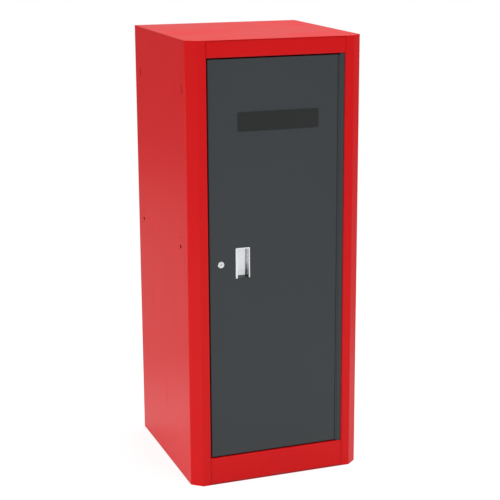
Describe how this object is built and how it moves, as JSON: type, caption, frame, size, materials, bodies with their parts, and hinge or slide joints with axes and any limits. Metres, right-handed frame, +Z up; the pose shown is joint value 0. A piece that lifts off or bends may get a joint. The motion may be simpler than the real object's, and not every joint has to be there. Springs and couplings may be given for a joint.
{
  "type": "tool chest side locker",
  "caption": "Tall folded-sheet tool storage locker with chamfered front posts, an inset door on a full-height hinge, flush cup pull, cam lock and adjustable shelves.",
  "frame": {"origin": "centre of the footprint, on the floor", "axes": "+X to the right as the door is faced, +Y from the door to the back, +Z up"},
  "size_m": [0.4314, 0.438, 1.066],
  "materials": {
    "red_paint": "gloss red powder coat",
    "grey_paint": "satin dark grey powder coat",
    "badge_grey": "satin charcoal coat on a bare plate",
    "satin_chrome": "satin chrome on a die casting",
    "bright_chrome": "bright chrome",
    "zinc_plate": "clear zinc plate",
    "rubber": "matt black rubber",
    "black_plastic": "matt black moulding"
  },
  "bodies": {
    "cabinet": {"side_panel_left": "red_paint", "side_panel_right": "red_paint", "back_panel": "red_paint", "top_panel": "red_paint", "top_rail": "red_paint", "bottom_rail": "red_paint", "floor_pan": "red_paint", "floor_stiffener": "red_paint", "shelf_standard_front_left": "zinc_plate", "shelf_standard_front_right": "zinc_plate", "shelf_standard_rear_left": "zinc_plate", "shelf_standard_rear_right": "zinc_plate", "shelf_lower": "red_paint", "shelf_upper": "red_paint", "shelf_clips_lower": "zinc_plate", "shelf_clips_upper": "zinc_plate", "hinge_stile": "grey_paint", "hinge_leaf_frame": "grey_paint", "hinge_pin": "zinc_plate", "door_bumpers": "rubber", "catch_case": "black_plastic", "catch_magnets": "zinc_plate", "catch_screws": "zinc_plate"},
    "door": {"door_skin": "grey_paint", "door_stiffener": "grey_paint", "hinge_leaf_door": "grey_paint", "badge_plate": "badge_grey", "recess_pull": "satin_chrome", "pull_retainer": "zinc_plate", "lock_housing": "bright_chrome", "lock_nut": "zinc_plate", "strike_plate": "zinc_plate"},
    "lock_plug_body": {"lock_plug": "bright_chrome", "lock_cam": "zinc_plate", "cam_screw": "zinc_plate"}
  },
  "joints": [
    {"name": "door_hinge", "type": "hinge", "parent": "cabinet", "child": "door", "pos_m": [0.155, -0.2143, 0.54765], "axis": [0, 0, 1], "range_deg": [0, 150]},
    {"name": "lock_turn", "type": "hinge", "parent": "door", "child": "lock_plug_body", "pos_m": [-0.1389, -0.205, 0.5462], "axis": [0, 1, 0], "range_deg": [0, 90]}
  ]
}
